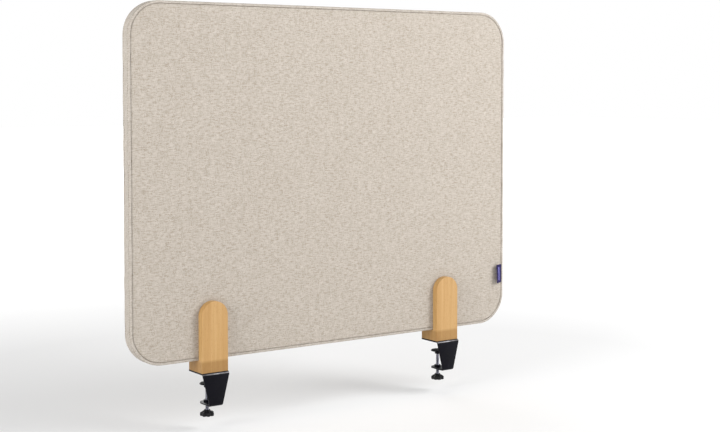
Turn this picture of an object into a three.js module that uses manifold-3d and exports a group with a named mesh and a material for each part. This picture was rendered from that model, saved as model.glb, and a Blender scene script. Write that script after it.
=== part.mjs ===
// Desk privacy panel: an upholstered screen standing in two wooden forks, each screwed to a steel desk clamp.
//
// Millimetres, +Z up. X runs along the panel, and the clamps' front plates face -Y.
// The origin is on the desk's front edge, midway between the two clamps: z = 0 is the desk top that the
// clamps stand on, and y = 0 is the inner face of the front plates, which stops against the desk's edge.

import * as THREE from "three";
import { mergeVertices } from "three/addons/utils/BufferGeometryUtils.js";
import Module from "manifold-3d";

// Upholstered panel
const PANEL_WIDTH = 800;
const PANEL_HEIGHT = 600;
const PANEL_THICKNESS = 22;
const PANEL_CORNER_RADIUS = 58;
const FABRIC_THICKNESS = 1;
const WADDING_THICKNESS = 2;
const CORE_RAIL_WIDTH = 30;
const EDGE_BAND_LAP = 4.5; // how far the edge band laps onto each face, up to the seam
const WADDING_SETBACK = 2; // from the seam to the wadding's edge

// Small tab sewn into the right-hand seam
const TAB_WIDTH = 17.5;
const TAB_HEIGHT = 35;
const TAB_THICKNESS = 1.25;
const TAB_CENTRE_HEIGHT = 94; // above the panel's bottom edge

// Wooden forks
const FORK_SPACING = 500; // centre to centre
const FORK_WIDTH = 50;
const FORK_HEIGHT = 120;
const FORK_BASE_HEIGHT = 20;
const FORK_TONGUE_THICKNESS = 12;
const FORK_SET_BACK = 1; // from the front plate's inner face to the wood

// Steel clamp frames, bent from one strip
const STEEL_THICKNESS = 2.5;
const BEND_OUTER_RADIUS = 4.5;
const CLAMP_JAW_DEPTH = 54; // desk top down to the underside of the bottom flange
const BOTTOM_FLANGE_WIDTH = 24;
const SPINDLE_SETBACK = 30; // from the front plate's inner face to the spindle's axis
const PROTECTOR_THICKNESS = 0.75;
const PROTECTOR_MARGIN = 2;

// Clamp screws
const DESK_THICKNESS = 19; // what the clamps are closed on
const SPINDLE_RADIUS = 3; // M6, 1 mm pitch
const SPINDLE_NECK_RADIUS = 2;
const BALL_RADIUS = 2.5;
const SOCKET_WALL = 2.5;
const SPINDLE_SHOULDER_HEIGHT = 1; // of the slope from the thread in to the neck
const PAD_RADIUS = 13;
const PAD_RIM_HEIGHT = 2;
const PAD_RIM_RISE = 0.5; // how far the underside slopes up out to the rim
const PAD_HUB_HEIGHT = 1; // how far the slope runs down onto the socket
const FACING_RADIUS = 11.5;
const FACING_THICKNESS = 1;
const KNOB_RADIUS = 12;
const KNOB_LOBES = 7;
const KNOB_LOBE_DEPTH = 3;
const KNOB_HEIGHT = 11;
const KNOB_BOSS_HEIGHT = 3;
const KNOB_BOSS_RADIUS = 5;
const KNOB_BOSS_FLARE = 2; // how much wider the boss is where it meets the body
const KNOB_EDGE_BEVEL = 1.5;
const KNOB_DROP = 11; // gap between the bottom flange and the knob

// Clinch nuts, pressed into the bottom flanges
const NUT_COLLAR_RADIUS = 6;
const NUT_COLLAR_HEIGHT = 3.5;
const NUT_SHANK_RADIUS = 4.25;

// Countersunk wood screws, up through each top flange into the fork
const SCREW_HEAD_RADIUS = 3.75;
const SCREW_SHANK_RADIUS = 1.75;
const SCREW_LENGTH = 16;
const SCREW_TIP_LENGTH = 3;
const SCREW_SPACING = 28;
const SCREW_HEAD_RECESS = 0.25;

// Clearances
const PART_GAP = 0.3; // between a piece and the neighbour that it is shaped around
const SLIDING_GAP = 0.25; // panel to fork, and spindle to nut

// Worked-out heights and depths
const FLANGE_TOP = PROTECTOR_THICKNESS + STEEL_THICKNESS;
const SLOT_WIDTH = PANEL_THICKNESS + 2 * SLIDING_GAP;
const FORK_DEPTH = 2 * FORK_TONGUE_THICKNESS + SLOT_WIDTH;
const FORK_BACK = FORK_SET_BACK + FORK_DEPTH;
const SLOT_FLOOR = FLANGE_TOP + FORK_BASE_HEIGHT;
const PANEL_Y = FORK_SET_BACK + FORK_DEPTH / 2;
const PANEL_BOTTOM = SLOT_FLOOR + SLIDING_GAP;
const CORE_THICKNESS = PANEL_THICKNESS - 2 * (FABRIC_THICKNESS + WADDING_THICKNESS);
const FLANGE_BOTTOM = -CLAMP_JAW_DEPTH;
const FLANGE_SEAT = FLANGE_BOTTOM + STEEL_THICKNESS;
const PAD_SEAT = -DESK_THICKNESS - FACING_THICKNESS;
const PAD_UNDERSIDE = PAD_SEAT - PAD_RIM_HEIGHT;
const SOCKET_DEPTH = 2 * BALL_RADIUS;
const SOCKET_MOUTH = PAD_UNDERSIDE - SOCKET_DEPTH;
const KNOB_TOP = FLANGE_BOTTOM - KNOB_DROP;
const KNOB_BOTTOM = KNOB_TOP - KNOB_HEIGHT;
const SPINDLE_FOOT = KNOB_BOTTOM + SOCKET_WALL;
const SCREW_HEAD_FACE = PROTECTOR_THICKNESS + SCREW_HEAD_RECESS;

const CORNER_STEPS = 5; // curve steps in half a quarter turn of an outline
const ROUND_SIDES = 28;
const CUT_MARGIN = 10; // how far a cutting solid runs past what it cuts

const X_AXIS = new THREE.Vector3(1, 0, 0);
const Y_AXIS = new THREE.Vector3(0, 1, 0);
const Z_AXIS = new THREE.Vector3(0, 0, 1);

const wasm = await Module();
wasm.setup();

// ---------------------------------------------------------------- materials

const finish = (color, roughness, metalness = 0) =>
  new THREE.MeshStandardMaterial({ color, roughness, metalness });

const MATERIALS = {
  faceFabric: finish(0xcdc5b6, 0.95),
  bandFabric: finish(0xd8d2c4, 0.95),
  tab: finish(0x241c66, 0.8),
  wadding: finish(0xe9e6de, 1),
  absorber: finish(0x9a978f, 1),
  plywood: finish(0xc9a878, 0.7),
  beech: finish(0xd9ae78, 0.55),
  blackSteel: finish(0x1b1a20, 0.45, 0.3),
  plainSteel: finish(0xb8b9bd, 0.35, 1),
  blackPlastic: finish(0x141416, 0.5),
  blackRubber: finish(0x1a1a1a, 0.9),
};

// ---------------------------------------------------------------- solids

function manifoldOf(geometry) {
  const bare = geometry.clone();
  bare.deleteAttribute("normal");
  bare.deleteAttribute("uv");
  const merged = mergeVertices(bare);
  return new wasm.Manifold(
    new wasm.Mesh({
      numProp: 3,
      vertProperties: merged.getAttribute("position").array,
      triVerts: Uint32Array.from(merged.getIndex().array),
    }),
  );
}

function geometryOf(manifold) {
  const { vertProperties, triVerts } = manifold.getMesh();
  const geometry = new THREE.BufferGeometry();
  geometry.setAttribute("position", new THREE.BufferAttribute(vertProperties, 3));
  geometry.setIndex(new THREE.BufferAttribute(triVerts, 1));
  geometry.computeVertexNormals();
  return geometry;
}

function piece(name, manifold, material) {
  const mesh = new THREE.Mesh(geometryOf(manifold), material);
  mesh.name = name;
  return mesh;
}

function extruded(shape, depth) {
  return new THREE.ExtrudeGeometry(shape, { depth, bevelEnabled: false, curveSegments: CORNER_STEPS });
}

// A shape drawn in X and Z, from y = front to y = back.
function plateAcrossY(shape, front, back) {
  const geometry = extruded(shape, back - front);
  geometry.applyMatrix4(new THREE.Matrix4().makeBasis(X_AXIS, Z_AXIS, Y_AXIS.clone().negate()));
  geometry.translate(0, back, 0);
  return manifoldOf(geometry);
}

// A shape drawn in Y and Z, centred on x = 0.
function barAlongX(shape, length) {
  const geometry = extruded(shape, length);
  geometry.translate(0, 0, -length / 2);
  geometry.applyMatrix4(new THREE.Matrix4().makeBasis(Y_AXIS, Z_AXIS, X_AXIS));
  return manifoldOf(geometry);
}

// A shape drawn in X and Y, from z = bottom to z = top.
function plateAcrossZ(shape, bottom, top) {
  const geometry = extruded(shape, top - bottom);
  geometry.translate(0, 0, bottom);
  return manifoldOf(geometry);
}

// A profile of [radius, height] points turned about the vertical line through (x, y).
function turned(profile, x, y) {
  const points = profile.map(([radius, height]) => new THREE.Vector2(radius, height));
  const geometry = new THREE.LatheGeometry(points, ROUND_SIDES);
  geometry.rotateX(Math.PI / 2);
  geometry.translate(x, y, 0);
  return manifoldOf(geometry);
}

function roundedRectangle(width, height, radius, centreHeight) {
  const right = width / 2;
  const top = centreHeight + height / 2;
  const bottom = centreHeight - height / 2;
  const shape = new THREE.Shape();
  shape.absarc(right - radius, bottom + radius, radius, -Math.PI / 2, 0);
  shape.absarc(right - radius, top - radius, radius, 0, Math.PI / 2);
  shape.absarc(-right + radius, top - radius, radius, Math.PI / 2, Math.PI);
  shape.absarc(-right + radius, bottom + radius, radius, Math.PI, 1.5 * Math.PI);
  return shape;
}

// ---------------------------------------------------------------- upholstered panel, bottom edge at z = 0

function panelOutline(inset) {
  return roundedRectangle(
    PANEL_WIDTH - 2 * inset,
    PANEL_HEIGHT - 2 * inset,
    Math.max(PANEL_CORNER_RADIUS - inset, CORE_RAIL_WIDTH),
    PANEL_HEIGHT / 2,
  );
}

const SKIN_INSET = FABRIC_THICKNESS + PART_GAP;
const SKIN_OUTSIDE = PANEL_THICKNESS / 2;
const SKIN_INSIDE = SKIN_OUTSIDE - FABRIC_THICKNESS;

function coreFrame() {
  const rails = plateAcrossY(panelOutline(SKIN_INSET), -CORE_THICKNESS / 2, CORE_THICKNESS / 2);
  const window = plateAcrossY(panelOutline(SKIN_INSET + CORE_RAIL_WIDTH), -CORE_THICKNESS, CORE_THICKNESS);
  return rails.subtract(window);
}

function absorberSlab() {
  const inset = SKIN_INSET + CORE_RAIL_WIDTH + PART_GAP;
  return plateAcrossY(panelOutline(inset), -CORE_THICKNESS / 2, CORE_THICKNESS / 2);
}

// The band goes round the panel's edge and laps over both faces.
function edgeBand() {
  const outside = plateAcrossY(panelOutline(0), -SKIN_OUTSIDE, SKIN_OUTSIDE);
  const inside = plateAcrossY(panelOutline(FABRIC_THICKNESS), -SKIN_INSIDE, SKIN_INSIDE);
  const window = plateAcrossY(panelOutline(EDGE_BAND_LAP), -PANEL_THICKNESS, PANEL_THICKNESS);
  return outside.subtract(inside).subtract(window);
}

function faceSkin(front, back) {
  return plateAcrossY(panelOutline(EDGE_BAND_LAP + PART_GAP), front, back);
}

function waddingSheet(front, back) {
  return plateAcrossY(panelOutline(EDGE_BAND_LAP + WADDING_SETBACK), front, back);
}

function seamTab() {
  const right = PANEL_WIDTH / 2 - EDGE_BAND_LAP;
  const bottom = TAB_CENTRE_HEIGHT - TAB_HEIGHT / 2;
  const shape = new THREE.Shape();
  shape.moveTo(right - TAB_WIDTH, bottom);
  shape.lineTo(right, bottom);
  shape.lineTo(right, bottom + TAB_HEIGHT);
  shape.lineTo(right - TAB_WIDTH, bottom + TAB_HEIGHT);
  const back = -SKIN_OUTSIDE - PART_GAP;
  return plateAcrossY(shape, back - TAB_THICKNESS, back);
}

function panel() {
  const group = new THREE.Group();
  const half = CORE_THICKNESS / 2;
  group.add(
    piece("core_frame", coreFrame(), MATERIALS.plywood),
    piece("absorber_slab", absorberSlab(), MATERIALS.absorber),
    piece("front_wadding", waddingSheet(-SKIN_INSIDE, -half), MATERIALS.wadding),
    piece("back_wadding", waddingSheet(half, SKIN_INSIDE), MATERIALS.wadding),
    piece("front_cover", faceSkin(-SKIN_OUTSIDE, -SKIN_INSIDE), MATERIALS.faceFabric),
    piece("back_cover", faceSkin(SKIN_INSIDE, SKIN_OUTSIDE), MATERIALS.faceFabric),
    piece("edge_band", edgeBand(), MATERIALS.bandFabric),
    piece("seam_tab", seamTab(), MATERIALS.tab),
  );
  group.position.set(0, PANEL_Y, PANEL_BOTTOM);
  return group;
}

// ---------------------------------------------------------------- foot: fork, clamp and screw, centred on x = 0

// A wood screw's outline from the head's rim to the tip, grown by a clearance.
function screwOutline(clearance) {
  const tip = SCREW_HEAD_FACE + SCREW_LENGTH;
  const headRadius = SCREW_HEAD_RADIUS + clearance;
  const shankRadius = SCREW_SHANK_RADIUS + clearance;
  return [
    [headRadius, SCREW_HEAD_FACE],
    [shankRadius, SCREW_HEAD_FACE + headRadius - shankRadius],
    [shankRadius, tip - SCREW_TIP_LENGTH],
    [0, tip + clearance],
  ];
}

function woodScrew(x) {
  return turned([[0, SCREW_HEAD_FACE], ...screwOutline(0)], x, PANEL_Y);
}

// The hole that a screw goes in, open below its head.
function screwHole(x) {
  const mouth = PROTECTOR_THICKNESS - CUT_MARGIN;
  const profile = [[0, mouth], [SCREW_HEAD_RADIUS + PART_GAP, mouth], ...screwOutline(PART_GAP)];
  return turned(profile, x, PANEL_Y);
}

const SCREW_PLACES = [-SCREW_SPACING / 2, SCREW_SPACING / 2];

function withScrewHoles(solid) {
  return SCREW_PLACES.reduce((left, x) => left.subtract(screwHole(x)), solid);
}

// A U in side view, cut to a round-topped board in front view.
function woodFork() {
  const top = FLANGE_TOP + FORK_HEIGHT;
  const slotFront = FORK_SET_BACK + FORK_TONGUE_THICKNESS;
  const slotBack = slotFront + SLOT_WIDTH;
  const side = new THREE.Shape();
  side.moveTo(FORK_SET_BACK, FLANGE_TOP);
  side.lineTo(FORK_BACK, FLANGE_TOP);
  side.lineTo(FORK_BACK, top);
  side.lineTo(slotBack, top);
  side.lineTo(slotBack, SLOT_FLOOR);
  side.lineTo(slotFront, SLOT_FLOOR);
  side.lineTo(slotFront, top);
  side.lineTo(FORK_SET_BACK, top);

  const radius = FORK_WIDTH / 2;
  const front = new THREE.Shape();
  front.moveTo(-radius, FLANGE_TOP - CUT_MARGIN);
  front.lineTo(radius, FLANGE_TOP - CUT_MARGIN);
  front.absarc(0, top - radius, radius, 0, Math.PI);
  const board = plateAcrossY(front, -CUT_MARGIN, FORK_BACK + CUT_MARGIN);
  return withScrewHoles(barAlongX(side, FORK_WIDTH).intersect(board));
}

// The strip in side view: top flange, bend, front plate, bend, bottom flange.
function clampSide() {
  const innerRadius = BEND_OUTER_RADIUS - STEEL_THICKNESS;
  const bendY = innerRadius;
  const upperBendZ = FLANGE_TOP - BEND_OUTER_RADIUS;
  const lowerBendZ = FLANGE_BOTTOM + BEND_OUTER_RADIUS;
  const lowerEnd = SPINDLE_SETBACK + BOTTOM_FLANGE_WIDTH / 2;
  const side = new THREE.Shape();
  side.moveTo(FORK_BACK, PROTECTOR_THICKNESS);
  side.lineTo(FORK_BACK, FLANGE_TOP);
  side.absarc(bendY, upperBendZ, BEND_OUTER_RADIUS, Math.PI / 2, Math.PI);
  side.absarc(bendY, lowerBendZ, BEND_OUTER_RADIUS, Math.PI, 1.5 * Math.PI);
  side.lineTo(lowerEnd, FLANGE_BOTTOM);
  side.lineTo(lowerEnd, FLANGE_SEAT);
  side.absarc(bendY, lowerBendZ, innerRadius, 1.5 * Math.PI, Math.PI, true);
  side.absarc(bendY, upperBendZ, innerRadius, Math.PI, Math.PI / 2, true);
  return side;
}

// The strip in front view: as wide as the fork at the top, tapering to the bottom flange.
function clampFront() {
  const upper = FORK_WIDTH / 2;
  const lower = BOTTOM_FLANGE_WIDTH / 2;
  const taperTop = FLANGE_TOP - BEND_OUTER_RADIUS;
  const front = new THREE.Shape();
  front.moveTo(-lower, FLANGE_BOTTOM - CUT_MARGIN);
  front.lineTo(lower, FLANGE_BOTTOM - CUT_MARGIN);
  front.lineTo(lower, FLANGE_BOTTOM);
  front.lineTo(upper, taperTop);
  front.lineTo(upper, FLANGE_TOP + CUT_MARGIN);
  front.lineTo(-upper, FLANGE_TOP + CUT_MARGIN);
  front.lineTo(-upper, taperTop);
  front.lineTo(-lower, FLANGE_BOTTOM);
  return front;
}

// What is cut off the bottom flange to leave its end round about the spindle.
function flangeEndOffcut() {
  const radius = BOTTOM_FLANGE_WIDTH / 2;
  const outer = radius + CUT_MARGIN;
  const shape = new THREE.Shape();
  shape.absarc(0, SPINDLE_SETBACK, radius, Math.PI, 0, true);
  shape.lineTo(outer, SPINDLE_SETBACK);
  shape.lineTo(outer, SPINDLE_SETBACK + outer);
  shape.lineTo(-outer, SPINDLE_SETBACK + outer);
  shape.lineTo(-outer, SPINDLE_SETBACK);
  return plateAcrossZ(shape, FLANGE_BOTTOM - CUT_MARGIN, FLANGE_SEAT + CUT_MARGIN);
}

function nutHole() {
  const radius = NUT_SHANK_RADIUS + PART_GAP;
  const profile = [
    [0, FLANGE_BOTTOM - CUT_MARGIN],
    [radius, FLANGE_BOTTOM - CUT_MARGIN],
    [radius, FLANGE_SEAT + CUT_MARGIN],
    [0, FLANGE_SEAT + CUT_MARGIN],
  ];
  return turned(profile, 0, SPINDLE_SETBACK);
}

function clampFrame() {
  const strip = barAlongX(clampSide(), FORK_WIDTH);
  const outline = plateAcrossY(clampFront(), -CUT_MARGIN, FORK_BACK + CUT_MARGIN);
  const cut = strip.intersect(outline).subtract(flangeEndOffcut()).subtract(nutHole());
  return withScrewHoles(cut);
}

function clinchNut() {
  const bore = SPINDLE_RADIUS + SLIDING_GAP;
  const profile = [
    [bore, FLANGE_BOTTOM],
    [NUT_SHANK_RADIUS, FLANGE_BOTTOM],
    [NUT_SHANK_RADIUS, FLANGE_SEAT],
    [NUT_COLLAR_RADIUS, FLANGE_SEAT],
    [NUT_COLLAR_RADIUS, FLANGE_SEAT + NUT_COLLAR_HEIGHT],
    [bore, FLANGE_SEAT + NUT_COLLAR_HEIGHT],
    [bore, FLANGE_BOTTOM],
  ];
  return turned(profile, 0, SPINDLE_SETBACK);
}

// The sheet between the top flange and the desk.
function deskProtector() {
  const right = FORK_WIDTH / 2 - PROTECTOR_MARGIN;
  const front = FORK_SET_BACK + PROTECTOR_MARGIN;
  const back = FORK_BACK - PROTECTOR_MARGIN;
  const shape = new THREE.Shape();
  shape.moveTo(-right, front);
  shape.lineTo(right, front);
  shape.lineTo(right, back);
  shape.lineTo(-right, back);
  return plateAcrossZ(shape, 0, PROTECTOR_THICKNESS);
}

// A disc with a socket under it, in which the spindle's ball end turns.
function pressurePad() {
  const bore = BALL_RADIUS + PART_GAP;
  const profile = [
    [0, PAD_UNDERSIDE],
    [bore, PAD_UNDERSIDE],
    [bore, SOCKET_MOUTH],
    [bore + SOCKET_WALL, SOCKET_MOUTH],
    [bore + SOCKET_WALL, PAD_UNDERSIDE - PAD_HUB_HEIGHT],
    [PAD_RADIUS, PAD_UNDERSIDE + PAD_RIM_RISE],
    [PAD_RADIUS, PAD_SEAT],
    [0, PAD_SEAT],
  ];
  return turned(profile, 0, SPINDLE_SETBACK);
}

function padFacing() {
  const profile = [
    [0, PAD_SEAT],
    [FACING_RADIUS, PAD_SEAT],
    [FACING_RADIUS, PAD_SEAT + FACING_THICKNESS],
    [0, PAD_SEAT + FACING_THICKNESS],
  ];
  return turned(profile, 0, SPINDLE_SETBACK);
}

// An M6 rod whose plain outline is the thread's, with a neck and a ball on top.
function spindle() {
  const ballTop = PAD_UNDERSIDE - PART_GAP;
  const ballCentre = ballTop - BALL_RADIUS;
  const neckAngle = -Math.acos(SPINDLE_NECK_RADIUS / BALL_RADIUS);
  const ballSteps = 6;
  const ball = [];
  for (let i = 0; i <= ballSteps; i++) {
    const angle = neckAngle + ((Math.PI / 2 - neckAngle) * i) / ballSteps;
    const radius = i < ballSteps ? BALL_RADIUS * Math.cos(angle) : 0;
    ball.push([radius, ballCentre + BALL_RADIUS * Math.sin(angle)]);
  }
  const shoulder = SOCKET_MOUTH - PART_GAP;
  const profile = [
    [0, SPINDLE_FOOT],
    [SPINDLE_RADIUS, SPINDLE_FOOT],
    [SPINDLE_RADIUS, shoulder - SPINDLE_SHOULDER_HEIGHT],
    [SPINDLE_NECK_RADIUS, shoulder],
    ...ball,
  ];
  return turned(profile, 0, SPINDLE_SETBACK);
}

// A star grip: lobes round a disc, a low boss on top, and a blind hole for the spindle.
function starKnob() {
  const star = new THREE.Shape();
  const pointsPerLobe = 6;
  const count = KNOB_LOBES * pointsPerLobe;
  const middle = KNOB_RADIUS - KNOB_EDGE_BEVEL - KNOB_LOBE_DEPTH / 2;
  for (let i = 0; i < count; i++) {
    const angle = (2 * Math.PI * i) / count;
    const radius = middle + (KNOB_LOBE_DEPTH / 2) * Math.cos(KNOB_LOBES * angle);
    star[i ? "lineTo" : "moveTo"](radius * Math.cos(angle), radius * Math.sin(angle));
  }
  const bodyHeight = KNOB_HEIGHT - KNOB_BOSS_HEIGHT;
  const body = new THREE.ExtrudeGeometry(star, {
    depth: bodyHeight - 2 * KNOB_EDGE_BEVEL,
    bevelThickness: KNOB_EDGE_BEVEL,
    bevelSize: KNOB_EDGE_BEVEL,
    bevelSegments: 1,
  });
  body.translate(0, SPINDLE_SETBACK, KNOB_BOTTOM + KNOB_EDGE_BEVEL);
  const bossFoot = KNOB_BOTTOM + bodyHeight - KNOB_EDGE_BEVEL;
  const boss = turned(
    [
      [0, bossFoot],
      [KNOB_BOSS_RADIUS + KNOB_BOSS_FLARE, bossFoot],
      [KNOB_BOSS_RADIUS, KNOB_TOP],
      [0, KNOB_TOP],
    ],
    0,
    SPINDLE_SETBACK,
  );
  const hole = turned(
    [
      [0, SPINDLE_FOOT - PART_GAP],
      [SPINDLE_RADIUS + PART_GAP, SPINDLE_FOOT - PART_GAP],
      [SPINDLE_RADIUS + PART_GAP, KNOB_TOP + CUT_MARGIN],
      [0, KNOB_TOP + CUT_MARGIN],
    ],
    0,
    SPINDLE_SETBACK,
  );
  return manifoldOf(body).add(boss).subtract(hole);
}

function foot(side, x) {
  const group = new THREE.Group();
  group.add(
    piece(`${side}_wood_fork`, woodFork(), MATERIALS.beech),
    piece(`${side}_clamp_frame`, clampFrame(), MATERIALS.blackSteel),
    piece(`${side}_desk_protector`, deskProtector(), MATERIALS.blackRubber),
    piece(`${side}_clinch_nut`, clinchNut(), MATERIALS.blackSteel),
    piece(`${side}_spindle`, spindle(), MATERIALS.plainSteel),
    piece(`${side}_star_knob`, starKnob(), MATERIALS.blackPlastic),
    piece(`${side}_pressure_pad`, pressurePad(), MATERIALS.blackSteel),
    piece(`${side}_pad_facing`, padFacing(), MATERIALS.blackRubber),
  );
  SCREW_PLACES.forEach((place, i) => {
    group.add(piece(`${side}_fork_screw_${i + 1}`, woodScrew(place), MATERIALS.plainSteel));
  });
  group.position.x = x;
  return group;
}

const deskPanel = new THREE.Group();
deskPanel.add(panel(), foot("left", -FORK_SPACING / 2), foot("right", FORK_SPACING / 2));

export default deskPanel;
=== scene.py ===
# Desk privacy panel: the looks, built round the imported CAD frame.
# Metres, +Z up. The clamps' front plates face -Y.

import math

import bmesh
import bpy
from mathutils import Matrix, Quaternion, Vector, noise


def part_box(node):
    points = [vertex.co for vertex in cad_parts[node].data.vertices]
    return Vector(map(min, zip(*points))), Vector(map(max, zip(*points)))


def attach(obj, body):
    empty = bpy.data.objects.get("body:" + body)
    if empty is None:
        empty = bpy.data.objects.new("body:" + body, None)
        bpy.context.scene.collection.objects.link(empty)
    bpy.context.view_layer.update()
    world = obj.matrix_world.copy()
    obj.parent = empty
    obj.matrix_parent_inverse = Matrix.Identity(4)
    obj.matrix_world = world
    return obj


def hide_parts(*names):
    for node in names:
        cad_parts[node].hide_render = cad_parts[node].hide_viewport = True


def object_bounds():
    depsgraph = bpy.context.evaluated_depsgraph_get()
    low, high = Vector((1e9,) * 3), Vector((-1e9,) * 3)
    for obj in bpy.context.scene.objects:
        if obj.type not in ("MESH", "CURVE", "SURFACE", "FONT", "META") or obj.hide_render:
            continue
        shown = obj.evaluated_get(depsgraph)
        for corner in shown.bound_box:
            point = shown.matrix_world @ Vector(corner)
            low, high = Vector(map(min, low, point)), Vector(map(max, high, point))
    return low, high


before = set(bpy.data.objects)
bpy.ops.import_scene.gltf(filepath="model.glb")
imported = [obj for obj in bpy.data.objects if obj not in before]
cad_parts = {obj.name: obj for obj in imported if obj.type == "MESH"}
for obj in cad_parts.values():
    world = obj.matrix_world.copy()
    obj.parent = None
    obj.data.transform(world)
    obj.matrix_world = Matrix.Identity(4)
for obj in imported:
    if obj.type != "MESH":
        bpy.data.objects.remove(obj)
cad_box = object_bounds()

MM = 0.001
SIDES = ("left", "right")

# ---------------------------------------------------------------- dimensions, from the frame if it has them

BAND_LOW, BAND_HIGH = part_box("edge_band")
PANEL_WIDTH = BAND_HIGH.x - BAND_LOW.x
PANEL_HEIGHT = BAND_HIGH.z - BAND_LOW.z
PANEL_CENTRE = (BAND_LOW + BAND_HIGH) / 2
PANEL_FRONT = BAND_LOW.y
PANEL_BACK = BAND_HIGH.y
CORNER_RADIUS = 58 * MM

SEAM_INSET = 4.7 * MM  # from the panel's outline to the middle of the seam groove
SEAM_HALF_GAP = 0.12 * MM
GROOVE_DEPTH = 1.1 * MM
GROOVE_REACH = 1.0 * MM  # how fast the cloth comes up out of the groove
PULL_DEPTH = 0.25 * MM  # the wider dip that the tight seam pulls into the padding
PULL_REACH = 14 * MM
SLACK_DEPTH = 0.10 * MM  # the cloth's own soft unevenness
SLACK_REACH = 4 * MM  # how fast it dies away towards the tight seam
SLACK_WAVES, SLACK_FINE_WAVES = 9, 31  # per metre
CLOTH_THICKNESS = 0.6 * MM
FACE_RINGS = (0, 0.4, 0.9, 1.6, 2.6, 4, 6, 9, 13, 18, 24)  # millimetres in from the seam

EDGE_ROUND = 2.2 * MM
LAP_SLOPE = 0.5 * MM  # where the edge band's lap turns down into the seam
LAP_ROUND = 0.7 * MM
BAND_STEP = 3 * MM  # the longest step across the band
CHANNEL_PLACE = 3.7 * MM  # the line of top stitches, from the panel's face
CHANNEL_DEPTH = 0.45 * MM
CHANNEL_HALF_WIDTH = 1.1 * MM
CHANNEL_EDGE_ROUND = 0.4 * MM
CHANNEL_FLOOR_ROUND = 0.5 * MM
RIPPLE = 0.12 * MM  # sideways, a corner radius from the panel's middle, and more further out
RIPPLE_WAVES, RIPPLE_WAVES_ACROSS = 40, 60  # per metre

ARC_STEPS = 10  # per half corner
LONG_STEPS = 92  # along the panel's straight top and bottom
HIGH_STEPS = 64  # along its straight sides
COLUMNS = LONG_STEPS + 2 * ARC_STEPS
ROWS = HIGH_STEPS + 2 * ARC_STEPS

STITCH_PITCH = 4 * MM
STITCH_LENGTH = 2.7 * MM
STITCH_RADIUS = 0.33 * MM
STITCH_RISE = 0.15 * MM  # of the thread's middle over the floor of its channel
STITCH_DIP = 0.25 * MM  # of each stitch's ends into the cloth
STITCH_SIDES = 6
# Along a stitch from its middle, each as (share of the half length, share of the radius).
STITCH_SHAPE = ((-1.0, 0.25), (-0.85, 0.8), (-0.4, 1.0), (0.4, 1.0), (0.85, 0.8), (1.0, 0.25))

TAB_LOW, TAB_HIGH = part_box("seam_tab")
TAB_LIFT = 8 * MM  # of the loose edge, off the cloth
TAB_LEAN = 0.15  # the share of the lift that its upper end lacks
TAB_CURL = 0.05  # the share of the lift that comes and goes up its height
TAB_CURL_ANGLE = 5  # radians
TAB_BEND = 1.3  # above 1, which makes the ribbon lift more towards its loose edge
TAB_ROOT = 0.9 * MM  # how deep in the seam the ribbon starts, and how far it stands out of it
TAB_ROOT_SHARE = 0.2  # the share of its width in which it comes out of the seam
TAB_CLOTH = 0.45 * MM
TAB_HALF_GAP = 0.5 * MM  # between its two leaves
TAB_STEPS = 14  # along each leaf
TAB_ROWS = 16  # up its height
TAB_OPENING_STEPS = 4  # in which the leaves part, from the seam
FOLD_STEPS = 6
STRIPE_PLACE = 0.4  # the share of the tab's width from its loose edge
STRIPE_HALF_WIDTH = 1.3 * MM
STRIPE_HALF_LENGTH = 12.5 * MM

FORK_EDGE_ROUND = 3.2 * MM  # of the edges that hands meet
FORK_FOOT_ROUND = 0.6 * MM  # of the edges on the steel, and inside the slot
SLOT_FRONT = 13 * MM
SLOT_BACK = 35.5 * MM
FORK_ARC_STEPS = 40
FORK_BASE_HEIGHT = 20 * MM
FORK_FOOT_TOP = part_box("left_wood_fork")[0].z + FORK_BASE_HEIGHT

BEND_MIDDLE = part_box("left_clamp_frame")[1].z - 2 * MM  # the height half way round the clamps' upper bends

THREAD_PITCH = 1 * MM
THREAD_DEPTH = 0.55 * MM
THREAD_SHAPE = ((0.0, 0), (0.14, 0), (0.44, 1), (0.58, 1), (0.88, 0))  # shares of the pitch, and of the depth
THREAD_RUNOUT = 1.5 * MM  # over which the thread fades at both ends
THREAD_SIDES = 32
SHOULDER_HEIGHT = 1.2 * MM  # from the thread to the neck
SHOULDER_TAPER = 0.6 * MM
NECK_HEIGHT = 5.0 * MM  # with the ball
NECK_RADIUS = 2.0 * MM
BALL_RADIUS = 2.5 * MM
BALL_STEPS = 10

KNOB_LOBES = 7
KNOB_SIDES = 18 * KNOB_LOBES
LOBE_DEPTH = 3.2 * MM
LOBE_POWER = 0.7  # below 1, which makes the lobes wider than the gaps
KNOB_EDGE = 1.9 * MM
KNOB_EDGE_STEPS = 6
KNOB_FOOT_INSET = 1.6 * KNOB_EDGE  # of the flat base, from the lobes' outline
KNOB_BROW_INSET = 1.5 * KNOB_EDGE  # where the top turns up towards the boss
KNOB_BROW_RISE = 0.5 * MM
BOSS_HEIGHT = 4.2 * MM  # over the lobes
# The knob's round parts, as (radius, height) in millimetres.
# The boss's heights are from the top of the lobes, the others from the base.
KNOB_CAP = ((0.02, 0.7), (5.2, 0.7), (5.6, 0.5), (5.8, 0.1), (6.1, 0.0))
KNOB_BOSS = ((6.8, 1.6), (5.9, 2.4), (5.2, 3.5), (4.7, 4.2), (3.6, 4.2), (3.3, 3.9))
KNOB_BORE = ((3.3, 2.2), (0.02, 2.2))

PAD_PLATE = 2 * MM
SOCKET_BORE = 2.8 * MM
SOCKET_WALL = 2.5 * MM
FACING_RINGS = (9.4 * MM, 6.6 * MM, 3.8 * MM)
FACING_RING_HALF_WIDTH = 0.6 * MM
FACING_RING_DEPTH = 0.3 * MM
NUT_COLLAR = 3.5 * MM  # high
NUT_BORE = 3.25 * MM
NUT_SHANK = 4.25 * MM

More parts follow.
